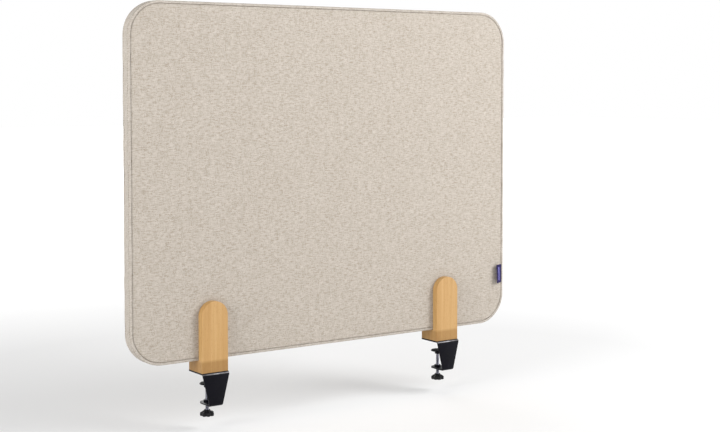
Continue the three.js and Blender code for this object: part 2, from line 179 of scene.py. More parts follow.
LATHE_SIDES = 64
FILLET_STEPS = 4
SAME_POINT = 1e-7  # metres: points nearer than this are one
SHARP_ANGLE = 40  # degrees: the least turn at an edge that gets rounded
FLAT_ANGLE = 1  # degrees: the most turn between triangles of one flat face
WELD_DISTANCE = 0.005 * MM
CLAMP_EDGE_ROUND = 0.5 * MM
SLIVER = 1e-13  # square metres: faces under this have no area worth having


# ---------------------------------------------------------------- mesh helpers


def piece(name, verts, faces, body, slot, material, replaces=()):
    """A new smooth-shaded mesh piece that rides on a body and stands for the CAD nodes it replaces."""
    mesh = bpy.data.meshes.new(name)
    mesh.from_pydata(verts, [], faces)
    mesh.materials.append(material)
    mesh.polygons.foreach_set("use_smooth", [True] * len(mesh.polygons))
    tidy_normals(mesh)
    obj = bpy.data.objects.new(name, mesh)
    bpy.context.scene.collection.objects.link(obj)
    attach(obj, body)
    if replaces:
        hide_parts(*replaces)
    return obj


def tidy_normals(mesh):
    """Joins points that fall together, and turns every face outwards."""
    bm = bmesh.new()
    bm.from_mesh(mesh)
    bmesh.ops.remove_doubles(bm, verts=bm.verts, dist=SAME_POINT)
    bmesh.ops.recalc_face_normals(bm, faces=bm.faces)
    bm.to_mesh(mesh)
    bm.free()


def joined(parts):
    """Several (verts, faces) as one."""
    verts, faces = [], []
    for part_verts, part_faces in parts:
        start = len(verts)
        verts.extend(part_verts)
        faces.extend(tuple(i + start for i in face) for face in part_faces)
    return verts, faces


def ring_faces(rings, size, closed=False):
    """Quads between successive rings of points, each ring closed on itself."""
    faces = []
    for r in range(rings if closed else rings - 1):
        low, high = r * size, ((r + 1) % rings) * size
        for i in range(size):
            j = (i + 1) % size
            faces.append((low + i, low + j, high + j, high + i))
    return faces


def filleted(corners, closed=False):
    """A polyline with its corners rounded. Each corner is (u, v, radius)."""
    points = []
    count = len(corners)
    for i, (u, v, radius) in enumerate(corners):
        here = Vector((u, v))
        at_end = not closed and i in (0, count - 1)
        if at_end or radius == 0:
            points.append(here)
            continue
        before = (Vector(corners[i - 1][:2]) - here).normalized()
        after = (Vector(corners[(i + 1) % count][:2]) - here).normalized()
        half = before.angle(after) / 2
        reach = radius / math.tan(half)
        middle = here + (before + after).normalized() * (radius / math.sin(half))
        start = here + before * reach - middle
        turn = start.angle_signed(here + after * reach - middle)
        for k in range(FILLET_STEPS + 1):
            points.append(middle + Matrix.Rotation(-turn * k / FILLET_STEPS, 2) @ start)
    return points


def lathe(corners, x, y, closed=False, sides=LATHE_SIDES):
    """Turns a filleted profile of (radius, height, fillet) about the vertical line through (x, y)."""
    profile = filleted(corners, closed)
    verts = []
    for radius, height in profile:
        for i in range(sides):
            angle = 2 * math.pi * i / sides
            verts.append((x + radius * math.cos(angle), y + radius * math.sin(angle), height))
    return verts, ring_faces(len(profile), sides, closed)


# ---------------------------------------------------------------- materials


class Nodes:
    """A short way to write one material's node tree."""

    def __init__(self, name, roughness, metallic=0.0, specular=0.5):
        self.material = bpy.data.materials.new(name)
        self.material.use_nodes = True
        self.tree = self.material.node_tree
        self.surface = self.tree.nodes["Principled BSDF"]
        self.surface.inputs["Roughness"].default_value = roughness
        self.surface.inputs["Metallic"].default_value = metallic
        self.surface.inputs["Specular IOR Level"].default_value = specular
        self.place = self.tree.nodes.new("ShaderNodeTexCoord").outputs["Object"]

    def link(self, source, target):
        self.tree.links.new(source, target)

    def noise(self, scale, detail=2.0, roughness=0.5, distortion=0.0, place=None):
        """Noise with a feature size that may differ along each axis: scale is features per metre."""
        mapping = self.tree.nodes.new("ShaderNodeMapping")
        mapping.inputs["Scale"].default_value = scale
        self.link(place or self.place, mapping.inputs["Vector"])
        texture = self.tree.nodes.new("ShaderNodeTexNoise")
        texture.inputs["Scale"].default_value = 1.0
        texture.inputs["Detail"].default_value = detail
        texture.inputs["Roughness"].default_value = roughness
        texture.inputs["Distortion"].default_value = distortion
        self.link(mapping.outputs["Vector"], texture.inputs["Vector"])
        return texture.outputs["Fac"]

    def bands(self, direction, per_metre):
        """Smooth parallel bands, such as ribs or plies, across one axis."""
        texture = self.tree.nodes.new("ShaderNodeTexWave")
        texture.bands_direction = direction
        texture.wave_profile = "SIN"
        texture.inputs["Scale"].default_value = per_metre / WAVES_PER_UNIT
        self.link(self.place, texture.inputs["Vector"])
        return texture.outputs["Fac"]

    def ramp(self, source, stops):
        """Colours for a source that goes from 0 to 1. Each stop is (position, colour)."""
        ramp = self.tree.nodes.new("ShaderNodeValToRGB")
        elements = ramp.color_ramp.elements
        while len(elements) < len(stops):
            elements.new(0.5)
        for element, (position, color) in zip(elements, stops):
            element.position = position
            element.color = (*color, 1.0)
        self.link(source, ramp.inputs["Fac"])
        return ramp.outputs["Color"]

    def mix(self, kind, factor, first, second):
        """Blends two colours: factor is a number or a socket."""
        mix = self.tree.nodes.new("ShaderNodeMix")
        mix.data_type = "RGBA"
        mix.blend_type = kind
        self.set(mix.inputs[0], factor)
        self.set(mix.inputs[6], first)
        self.set(mix.inputs[7], second)
        return mix.outputs[2]

    def calc(self, kind, first, second=0.0):
        """Arithmetic on numbers or sockets."""
        node = self.tree.nodes.new("ShaderNodeMath")
        node.operation = kind
        self.set(node.inputs[0], first)
        self.set(node.inputs[1], second)
        return node.outputs[0]

    def between(self, source, low, high, to_low=0.0, to_high=1.0):
        """Maps a source from one range to another, and holds it at the ends."""
        node = self.tree.nodes.new("ShaderNodeMapRange")
        node.inputs["From Min"].default_value = low
        node.inputs["From Max"].default_value = high
        node.inputs["To Min"].default_value = to_low
        node.inputs["To Max"].default_value = to_high
        self.link(source, node.inputs["Value"])
        return node.outputs["Result"]

    def point(self, x, y):
        node = self.tree.nodes.new("ShaderNodeCombineXYZ")
        self.link(x, node.inputs["X"])
        self.link(y, node.inputs["Y"])
        return node.outputs["Vector"]

    def wave(self, source, length, phase=-math.pi / 2):
        """A sine of a distance, from -1 to 1. At the usual phase it is lowest at each whole length."""
        turn = self.calc("ADD", self.calc("MULTIPLY", source, 2 * math.pi / length), phase)
        return self.calc("SINE", turn)

    def axis(self, name):
        node = self.tree.nodes.new("ShaderNodeSeparateXYZ")
        self.link(self.place, node.inputs["Vector"])
        return node.outputs[name]

    def set(self, target, value):
        if isinstance(value, bpy.types.NodeSocket):
            self.link(value, target)
        elif isinstance(value, tuple):
            target.default_value = (*value, 1.0)
        else:
            target.default_value = value

    def color(self, source):
        self.set(self.surface.inputs["Base Color"], source)

    def roughness(self, source, low, high):
        """Spreads the usual values of a noise over a range of roughness."""
        self.link(self.between(source, 0.3, 0.7, low, high), self.surface.inputs["Roughness"])

    def bump(self, source, height):
        """Height is in metres, for a source that goes from 0 to 1. Calls add up."""
        node = self.tree.nodes.new("ShaderNodeBump")
        node.inputs["Strength"].default_value = 1.0
        node.inputs["Distance"].default_value = height
        self.link(source, node.inputs["Height"])
        normal = self.surface.inputs["Normal"]
        if normal.is_linked:
            self.link(normal.links[0].from_socket, node.inputs["Normal"])
        self.link(node.outputs["Normal"], normal)

    def sheen(self, weight, tint):
        self.surface.inputs["Sheen Weight"].default_value = weight
        self.surface.inputs["Sheen Roughness"].default_value = 0.6
        self.surface.inputs["Sheen Tint"].default_value = (*tint, 1.0)


WHITE = (1.0, 1.0, 1.0)
WAVES_PER_UNIT = 20 / (2 * math.pi)  # what a Wave texture of scale 1 draws in one metre
YARN_PITCH = 1.7 * MM
YARN_WANDER = 1.2 * MM
YARN_SHADES = 110  # shades per metre along one yarn
YARN_CHANGE = 1.7  # how far one yarn's run of shades is from the next one's, in noise cells
CROSSING = 0.15  # how gradual the change from weft on top to warp on top is
UNDER_YARN = 0.4  # the share of its height that a yarn keeps where it goes under
FLECK_SHARE, SLUB_SHARE, PATCH_SHARE = 0.30, 0.36, 0.08


def melange_cloth(name, light, middle, dark):
    """A plain weave of flecked yarns. Each yarn has its own run of shades, so the cloth looks heathered."""
    cloth = Nodes(name, roughness=0.95, specular=0.15)
    stops = [(0.37, dark), (0.49, middle), (0.60, light)]
    slack = cloth.calc("MULTIPLY", cloth.noise((90, 90, 90)), YARN_WANDER)
    along = cloth.calc("ADD", cloth.calc("ADD", cloth.axis("X"), cloth.axis("Y")), slack)
    up = cloth.calc("ADD", cloth.calc("ADD", cloth.axis("Z"), cloth.axis("Y")), slack)
    weft_place = cloth.point(along, cloth.calc("SNAP", up, YARN_PITCH))
    warp_place = cloth.point(cloth.calc("SNAP", along, YARN_PITCH), up)
    weft = cloth.noise((YARN_SHADES, YARN_CHANGE / YARN_PITCH, 0), roughness=0.6, place=weft_place)
    warp = cloth.noise((YARN_CHANGE / YARN_PITCH, YARN_SHADES, 0), roughness=0.6, place=warp_place)
    columns, rows = cloth.wave(along, YARN_PITCH), cloth.wave(up, YARN_PITCH)
    slow_columns, slow_rows = cloth.wave(along, 2 * YARN_PITCH, 0), cloth.wave(up, 2 * YARN_PITCH, 0)
    weft_on_top = cloth.between(cloth.calc("MULTIPLY", slow_columns, slow_rows), -CROSSING, CROSSING)
    yarns = cloth.mix("MIX", weft_on_top, cloth.ramp(warp, stops), cloth.ramp(weft, stops))
    flecks = cloth.noise((560, 560, 680), roughness=0.7)
    slubs = cloth.noise((95, 300, 600), roughness=0.6)
    flecked = cloth.mix("MIX", FLECK_SHARE, yarns, cloth.ramp(flecks, stops))
    slubbed = cloth.mix("MIX", SLUB_SHARE, flecked, cloth.ramp(slubs, stops))
    patches = cloth.between(cloth.noise((22, 22, 30)), 0.3, 0.7, 0.0, PATCH_SHARE)
    cloth.color(cloth.mix("MIX", patches, slubbed, dark))
    weft_height = cloth.calc("ADD", rows, cloth.calc("MULTIPLY", columns, UNDER_YARN))
    warp_height = cloth.calc("ADD", columns, cloth.calc("MULTIPLY", rows, UNDER_YARN))
    cloth.bump(cloth.mix("MIX", weft_on_top, warp_height, weft_height), 0.16 * MM)
    cloth.bump(cloth.noise((2600, 2600, 2600)), 0.05 * MM)
    cloth.sheen(0.08, (0.95, 0.92, 0.86))
    return cloth.material


def tab_cloth():
    """A tightly woven ribbon with a plain paler stripe, a little nearer to its loose edge."""
    cloth = Nodes("tab_cloth", roughness=0.7, specular=0.25)
    ribs = cloth.bands("Z", 1800)
    yarn = cloth.noise((900, 900, 2200))
    ground = cloth.ramp(yarn, [(0.3, (0.008, 0.004, 0.045)), (0.7, (0.020, 0.011, 0.095))])
    stripe = cloth.ramp(yarn, [(0.3, (0.14, 0.14, 0.45)), (0.7, (0.30, 0.29, 0.72))])
    middle = TAB_LOW.lerp(TAB_HIGH, STRIPE_PLACE).x
    across = cloth.calc("ABSOLUTE", cloth.calc("SUBTRACT", cloth.axis("X"), middle))
    along = cloth.calc("ABSOLUTE", cloth.calc("SUBTRACT", cloth.axis("Z"), (TAB_LOW.z + TAB_HIGH.z) / 2))
    in_width = cloth.between(across, STRIPE_HALF_WIDTH, STRIPE_HALF_WIDTH + 0.3 * MM, 1.0, 0.0)
    in_length = cloth.between(along, STRIPE_HALF_LENGTH, STRIPE_HALF_LENGTH + 0.5 * MM, 1.0, 0.0)
    cloth.color(cloth.mix("MIX", cloth.calc("MULTIPLY", in_width, in_length), ground, stripe))
    cloth.bump(ribs, 0.05 * MM)
    cloth.bump(yarn, 0.05 * MM)
    return cloth.material


def thread():
    """Twisted sewing thread, darker than the cloth."""
    yarn = Nodes("stitching_thread", roughness=0.75, specular=0.3)
    twist = yarn.noise((2600, 2600, 2600))
    yarn.color(yarn.ramp(twist, [(0.35, (0.12, 0.095, 0.065)), (0.65, (0.23, 0.19, 0.14))]))
    yarn.bump(twist, 0.05 * MM)
    return yarn.material


def beech(name, shift):
    """Pale close-grained wood, grain upright, with a darker foot. The shift gives each fork its own board."""
    wood = Nodes(name, roughness=0.45, specular=0.4)
    mapping = wood.tree.nodes.new("ShaderNodeMapping")
    mapping.inputs["Location"].default_value = shift
    wood.link(wood.place, mapping.inputs["Vector"])
    height = wood.axis("Z")
    wood.place = mapping.outputs["Vector"]
    growth = wood.noise((110, 150, 4.5), detail=3.0, roughness=0.55, distortion=0.4)
    fibre = wood.noise((900, 900, 22), detail=2.0, roughness=0.6)
    rays = wood.noise((1500, 500, 190), detail=1.0)
    dark, middle, light = (0.430, 0.238, 0.078), (0.474, 0.276, 0.099), (0.518, 0.317, 0.126)
    figure = wood.ramp(growth, [(0.30, dark), (0.50, middle), (0.68, light)])
    fibres = wood.ramp(fibre, [(0.30, (0.86, 0.83, 0.78)), (0.60, WHITE)])
    flecks = wood.ramp(rays, [(0.30, (0.76, 0.67, 0.57)), (0.38, WHITE)])
    grained = wood.mix("MULTIPLY", 0.42, figure, fibres)
    flecked = wood.mix("MULTIPLY", 0.5, grained, flecks)
    in_foot = wood.between(height, FORK_FOOT_TOP - 3 * MM, FORK_FOOT_TOP + 2 * MM, 1.0, 0.0)
    wood.color(wood.mix("MULTIPLY", in_foot, flecked, (0.72, 0.665, 0.54)))
    wood.roughness(fibre, 0.52, 0.38)
    wood.bump(fibre, 0.06 * MM)
    wood.bump(rays, 0.03 * MM)
    return wood.material


def powder_coat():
    """Black paint, with a painted highlight along the front of the clamps' upper bends, where they catch the
    light.
    """
    paint = Nodes("black_powder_coat", roughness=0.30, specular=0.11)
    peel = paint.noise((1300, 1300, 1300))
    mottle = paint.noise((90, 90, 90), detail=3.0)
    black = paint.ramp(mottle, [(0.35, (0.0016, 0.0015, 0.0040)), (0.7, (0.0024, 0.0022, 0.0056))])
    # Painted highlight: a pale, patchy, metallic strip half way round the front of each upper bend, standing
    # in for the light that the bend catches.
    highlight_grey = (0.42, 0.41, 0.42)
    from_bend = paint.calc("ABSOLUTE", paint.calc("SUBTRACT", paint.axis("Z"), BEND_MIDDLE))
    on_bend = paint.between(from_bend, 0.5 * MM, 1.3 * MM, 1.0, 0.0)
    in_front = paint.between(paint.axis("Y"), 0.5 * MM, 1.0 * MM, 1.0, 0.0)
    highlight_strength = paint.between(mottle, 0.35, 0.65, 0.20, 0.50)
    painted_highlight = paint.calc("MULTIPLY", paint.calc("MULTIPLY", on_bend, in_front), highlight_strength)
    paint.color(paint.mix("MIX", painted_highlight, black, highlight_grey))
    paint.link(painted_highlight, paint.surface.inputs["Metallic"])
    paint.roughness(peel, 0.26, 0.34)
    paint.bump(peel, 0.03 * MM)
    return paint.material


def zinc_plate():
    """Bright zinc, faintly cloudy, with fine turning marks."""
    plate = Nodes("zinc_plated_steel", roughness=0.3, metallic=1.0)
    cloudy = plate.noise((240, 240, 240), detail=3.0)
    turning = plate.noise((60, 60, 3800), detail=1.0)
    plate.color(plate.ramp(cloudy, [(0.35, (0.17, 0.17, 0.21)), (0.7, (0.28, 0.28, 0.34))]))
    plate.roughness(cloudy, 0.25, 0.42)
    plate.bump(turning, 0.02 * MM)
    return plate.material


def moulded_plastic():
    """Black plastic with a fine spark-eroded texture."""
    plastic = Nodes("black_moulded_plastic", roughness=0.45, specular=0.25)
    spark = plastic.noise((1800, 1800, 1800))
    plastic.color(plastic.ramp(spark, [(0.3, (0.003, 0.003, 0.004)), (0.7, (0.006, 0.006, 0.007))]))
    plastic.roughness(spark, 0.40, 0.55)
    plastic.bump(spark, 0.03 * MM)
    return plastic.material


def rubber():
    """Dull black sheet rubber."""
    soft = Nodes("black_rubber_sheet", roughness=0.85, specular=0.3)
    grain = soft.noise((1100, 1100, 1100), detail=3.0)
    soft.color(soft.ramp(grain, [(0.3, (0.012, 0.012, 0.012)), (0.7, (0.024, 0.024, 0.024))]))
    soft.bump(grain, 0.05 * MM)
    return soft.material


def plywood():
    """Pale plywood with its plies across the panel's thickness."""
    board = Nodes("core_plywood", roughness=0.65, specular=0.3)
    plies = board.bands("Y", 650)
    grain = board.noise((14, 900, 500), detail=3.0)
    face = board.ramp(grain, [(0.3, (0.46, 0.31, 0.17)), (0.7, (0.62, 0.46, 0.28))])
    lines = board.ramp(plies, [(0.1, (0.65, 0.55, 0.45)), (0.35, WHITE)])
    board.color(board.mix("MULTIPLY", 0.6, face, lines))
    board.bump(grain, 0.05 * MM)
    return board.material


def felt(name, dark, light, scale):
    """Matted fibres, scale features to the metre."""
    wool = Nodes(name, roughness=1.0, specular=0.05)
    fibres = wool.noise((scale, scale, scale), detail=4.0, roughness=0.7, distortion=1.5)
    wool.color(wool.ramp(fibres, [(0.35, dark), (0.65, light)]))
    wool.bump(fibres, 0.3 * MM)
    return wool.material


FACE_CLOTH = melange_cloth("face_cloth", (0.569, 0.524, 0.469), (0.469, 0.417, 0.361), (0.304, 0.253, 0.197))
BAND_CLOTH = melange_cloth("band_cloth", (0.569, 0.527, 0.477), (0.479, 0.431, 0.378), (0.324, 0.274, 0.221))
TAB_CLOTH_MATERIAL = tab_cloth()
THREAD = thread()
WOOD = {"left": beech("beech_left", (0.0, 0.0, 0.0)), "right": beech("beech_right", (0.37, 0.21, 0.13))}
POWDER_COAT = powder_coat()
ZINC = zinc_plate()
PLASTIC = moulded_plastic()
RUBBER = rubber()
PLYWOOD = plywood()
ABSORBER = felt("absorber_felt", (0.22, 0.215, 0.20), (0.42, 0.41, 0.385), 700)
WADDING = felt("polyester_wadding", (0.70, 0.68, 0.63), (0.88, 0.86, 0.82), 450)


# ---------------------------------------------------------------- the panel's outline


def outline(inset):
    """Points (x, z) round the panel's rounded rectangle, moved in by inset.

    They start half way round the lower left corner. Every inset gives matching points."""
    half_x = PANEL_WIDTH / 2 - CORNER_RADIUS
    half_z = PANEL_HEIGHT / 2 - CORNER_RADIUS
    radius = CORNER_RADIUS - inset
    corners = [(-half_x, -half_z), (half_x, -half_z), (half_x, half_z), (-half_x, half_z)]
    points = []
    for side in range(4):
        here, there = corners[side], corners[(side + 1) % 4]
        outward = math.radians(90 * side - 90)
        for k in range(ARC_STEPS):
            angle = outward + math.radians(45) * (k / ARC_STEPS - 1)
            points.append((here[0] + radius * math.cos(angle), here[1] + radius * math.sin(angle)))
        steps = HIGH_STEPS if side % 2 else LONG_STEPS
        for k in range(steps):
            x = here[0] + (there[0] - here[0]) * k / steps + radius * math.cos(outward)
            z = here[1] + (there[1] - here[1]) * k / steps + radius * math.sin(outward)
            points.append((x, z))
        for k in range(ARC_STEPS):
            angle = outward + math.radians(45) * k / ARC_STEPS
            points.append((there[0] + radius * math.cos(angle), there[1] + radius * math.sin(angle)))
    return [(PANEL_CENTRE.x + x, PANEL_CENTRE.z + z) for x, z in points]


def grid_inside(ring):
    """The rows of points that fill a ring made by outline(), by blending its four sides."""
    bottom = ring[: COLUMNS + 1]
    right = ring[COLUMNS : COLUMNS + ROWS + 1]
    top = ring[COLUMNS + ROWS : 2 * COLUMNS + ROWS + 1][::-1]
    left = (ring[2 * COLUMNS + ROWS :] + ring[:1])[::-1]
    grid = []
    for j in range(ROWS + 1):
        v = (left[j][1] - left[0][1]) / (left[ROWS][1] - left[0][1])
        row = []
        for i in range(COLUMNS + 1):
            u = (bottom[i][0] - bottom[0][0]) / (bottom[COLUMNS][0] - bottom[0][0])
            point = []
            for axis in (0, 1):
                across = (1 - v) * bottom[i][axis] + v * top[i][axis]
                along = (1 - u) * left[j][axis] + u * right[j][axis]
                low_corners = (1 - u) * bottom[0][axis] + u * bottom[COLUMNS][axis]
                high_corners = (1 - u) * top[0][axis] + u * top[COLUMNS][axis]
                point.append(across + along - (1 - v) * low_corners - v * high_corners)
            row.append(tuple(point))
        grid.append(row)
    return grid


def inset_at(x, z):
    """How far inside the panel's outline a point is."""
    across = abs(x - PANEL_CENTRE.x) - (PANEL_WIDTH / 2 - CORNER_RADIUS)
    along = abs(z - PANEL_CENTRE.z) - (PANEL_HEIGHT / 2 - CORNER_RADIUS)
    outside = math.hypot(max(across, 0), max(along, 0)) + min(max(across, along), 0)
    return CORNER_RADIUS - outside


# ---------------------------------------------------------------- cloth faces


def face_depth(x, z, seed):
    """How far the cloth lies behind the panel's outermost plane."""
    from_seam = max(inset_at(x, z) - SEAM_INSET - SEAM_HALF_GAP, 0)
    groove = GROOVE_DEPTH * math.exp(-from_seam / GROOVE_REACH)
    pull = PULL_DEPTH * math.exp(-from_seam / PULL_REACH)
    swell = noise.noise(Vector((x * SLACK_WAVES, z * SLACK_WAVES, seed)))
    swell += 0.5 * noise.noise(Vector((x * SLACK_FINE_WAVES, z * SLACK_FINE_WAVES, seed)))
    slack = SLACK_DEPTH * (1 + swell * math.exp(-SLACK_REACH / max(from_seam, 0.001 * MM)))
    return groove + pull + slack


def cloth_face(name, plane, inward, seed, node):
    """One face of the cover as a thin closed shell. Inward is +1 where deeper means +Y."""
    rings = [outline(SEAM_INSET + SEAM_HALF_GAP + step * MM) for step in FACE_RINGS]
    grid = grid_inside(rings[-1])
    size = len(rings[0])

    def layer(behind):
        """One side of the shell: its points, and its faces."""
        points = [point for ring in rings[:-1] for point in ring]
        start = len(points)
        points += [point for row in grid for point in row]
        verts = []
        for x, z in points:
            verts.append((x, plane + inward * (face_depth(x, z, seed) + behind), z))
        faces = ring_faces(len(rings) - 1, size)
        edge = [start + i for i in range(COLUMNS)]
        edge += [start + j * (COLUMNS + 1) + COLUMNS for j in range(ROWS)]
        edge += [start + ROWS * (COLUMNS + 1) + COLUMNS - i for i in range(COLUMNS)]
        edge += [start + (ROWS - j) * (COLUMNS + 1) for j in range(ROWS)]
        last = (len(rings) - 2) * size
        for i in range(size):
            j = (i + 1) % size
            faces.append((last + i, last + j, edge[j], edge[i]))
        for j in range(ROWS):
            for i in range(COLUMNS):
                a = start + j * (COLUMNS + 1) + i
                faces.append((a, a + 1, a + COLUMNS + 2, a + COLUMNS + 1))
        return verts, faces

    outer, outer_faces = layer(0)
    inner, inner_faces = layer(CLOTH_THICKNESS)
    verts, faces = joined([(outer, outer_faces), (inner, [face[::-1] for face in inner_faces])])
    for i in range(size):
        j = (i + 1) % size
        faces.append((i, len(outer) + i, len(outer) + j, j))
    cover = piece(name, verts, faces, "panel", "face_fabric", FACE_CLOTH, [node])


# ---------------------------------------------------------------- edge band


def band_profile():
    """The band's cross-section from seam to seam: its outside and its inside, as lines of (inset, y)."""
    lap = SEAM_INSET - SEAM_HALF_GAP
    front_half = [
        (lap, PANEL_FRONT + GROOVE_DEPTH, 0),
        (lap - LAP_SLOPE, PANEL_FRONT, LAP_ROUND),
        (0, PANEL_FRONT, EDGE_ROUND),
        (0, PANEL_FRONT + CHANNEL_PLACE - CHANNEL_HALF_WIDTH, CHANNEL_EDGE_ROUND),
        (CHANNEL_DEPTH, PANEL_FRONT + CHANNEL_PLACE, CHANNEL_FLOOR_ROUND),
        (0, PANEL_FRONT + CHANNEL_PLACE + CHANNEL_HALF_WIDTH, CHANNEL_EDGE_ROUND),
    ]
    back_half = [(inset, PANEL_FRONT + PANEL_BACK - y, radius) for inset, y, radius in reversed(front_half)]
    outside = subdivided(filleted(front_half + back_half), BAND_STEP)
    inside = []
    for k, point in enumerate(outside):
        before = outside[max(k - 1, 0)]
        after = outside[min(k + 1, len(outside) - 1)]
        along = (after - before).normalized()
        inside.append(point + Vector((-along.y, along.x)) * -CLOTH_THICKNESS)
    return outside, inside


def subdivided(points, longest):
    """The same line with points added so that no step is longer than this."""
    result = points[:1]
    for here, there in zip(points, points[1:]):
        steps = max(math.ceil((there - here).length / longest), 1)
        result += [here.lerp(there, k / steps) for k in range(1, steps + 1)]
    return result


def edge_band():
    """The cover's band as one closed tube of cloth: its outer side out, and back along its inner side."""
    outside, inside = band_profile()
    loop = [(point, True) for point in outside] + [(point, False) for point in reversed(inside)]
    verts = []
    for (inset, y), is_outside in loop:
        for x, z in outline(inset):
            place = Vector((x * RIPPLE_WAVES, y * RIPPLE_WAVES_ACROSS, z * RIPPLE_WAVES))
            shrink = 1 - RIPPLE * noise.noise(place) / CORNER_RADIUS if is_outside else 1
            verts.append((PANEL_CENTRE.x + (x - PANEL_CENTRE.x) * shrink, y, z))
    faces = ring_faces(len(loop), len(verts) // len(loop), closed=True)
    piece("edge_band_cloth", verts, faces, "panel", "band_fabric", BAND_CLOTH, ["edge_band"])


def stitch(centre, along, out):
    """One short capsule of thread, half sunk in the cloth."""
    side = along.cross(out)
    verts = []
    for place, fullness in STITCH_SHAPE:
        middle = centre + along * (STITCH_LENGTH / 2 * place) - out * (STITCH_DIP * abs(place) ** 3)
        radius = STITCH_RADIUS * fullness
        for k in range(STITCH_SIDES):
            angle = 2 * math.pi * k / STITCH_SIDES
            verts.append(middle + out * (math.cos(angle) * radius) + side * (math.sin(angle) * radius))
    faces = ring_faces(len(STITCH_SHAPE), STITCH_SIDES)
    faces.append(tuple(range(STITCH_SIDES))[::-1])
    faces.append(tuple(range(len(verts) - STITCH_SIDES, len(verts))))
    return verts, faces


def stitching(name, plane, inward):
    """A row of top stitches round the band, in the channel behind its rounded edge."""
    y = plane + inward * CHANNEL_PLACE
    ring = [Vector((x, y, z)) for x, z in outline(CHANNEL_DEPTH - STITCH_RISE)]
    lengths = [(ring[(i + 1) % len(ring)] - ring[i]).length for i in range(len(ring))]
    total = sum(lengths)
    count = round(total / STITCH_PITCH)
    parts = []
    segment, walked = 0, 0.0
    for k in range(count):
        target = total * k / count
        while walked + lengths[segment] < target:
            walked += lengths[segment]
            segment += 1
        a, b = ring[segment], ring[(segment + 1) % len(ring)]
        along = (b - a).normalized()
        out = along.cross(Vector((0, 1, 0))).normalized()
        centre = a.lerp(b, (target - walked) / lengths[segment])
        if out.dot(centre - PANEL_CENTRE) < 0:
            out = -out
        parts.append(stitch(centre, along, out))
    piece(name, *joined(parts), "panel", "band_fabric", THREAD)


# ---------------------------------------------------------------- seam tab


def tab_path(v):
    """The ribbon's middle line at height share v: out of the seam, round the fold, and back."""
    lift = TAB_LIFT * (1.0 - TAB_LEAN * v + TAB_CURL * math.sin(TAB_CURL_ANGLE * v))
    points = []
    for k in range(TAB_STEPS + 1):
        t = k / TAB_STEPS
        out_of_seam = min(t / TAB_ROOT_SHARE, 1)
        x = TAB_HIGH.x + (TAB_LOW.x - TAB_HIGH.x) * t
        points.append((x, PANEL_FRONT + TAB_ROOT * (1 - 2 * out_of_seam) - lift * t**TAB_BEND))
    end_x, end_y = points[-1]
    fold = []
    for k in range(1, FOLD_STEPS):
        angle = math.pi * k / FOLD_STEPS
        fold.append((end_x - TAB_HALF_GAP * math.sin(angle), end_y + TAB_HALF_GAP * (1 - math.cos(angle))))
    back = []
    for k, (x, y) in enumerate(points):
        back.append((x, y + 2 * TAB_HALF_GAP * min((k + 0.6) / TAB_OPENING_STEPS, 1)))
    return [Vector(point) for point in points + fold + back[::-1]]


def seam_tab():
    """A ribbon folded in half with both ends sewn into the seam, its folded edge standing off the cloth."""
    verts = []
    for row in range(TAB_ROWS + 1):
        middle = tab_path(row / TAB_ROWS)
        z = TAB_LOW.z + (TAB_HIGH.z - TAB_LOW.z) * row / TAB_ROWS
        outer, inner = [], []
        for k, point in enumerate(middle):
            along = (middle[min(k + 1, len(middle) - 1)] - middle[max(k - 1, 0)]).normalized()
            normal = Vector((-along.y, along.x)) * (TAB_CLOTH / 2)
            outer.append((point.x + normal.x, point.y + normal.y, z))
            inner.append((point.x - normal.x, point.y - normal.y, z))
        verts += outer + inner[::-1]
    size = len(verts) // (TAB_ROWS + 1)
    faces = ring_faces(TAB_ROWS + 1, size)
    for start in (0, TAB_ROWS * size):
        for k in range(size // 2 - 1):
            faces.append((start + k, start + k + 1, start + size - 2 - k, start + size - 1 - k))
    piece("folded_tab", verts, faces, "panel", "tab_fabric", TAB_CLOTH_MATERIAL, ["seam_tab"])


# ---------------------------------------------------------------- wooden forks


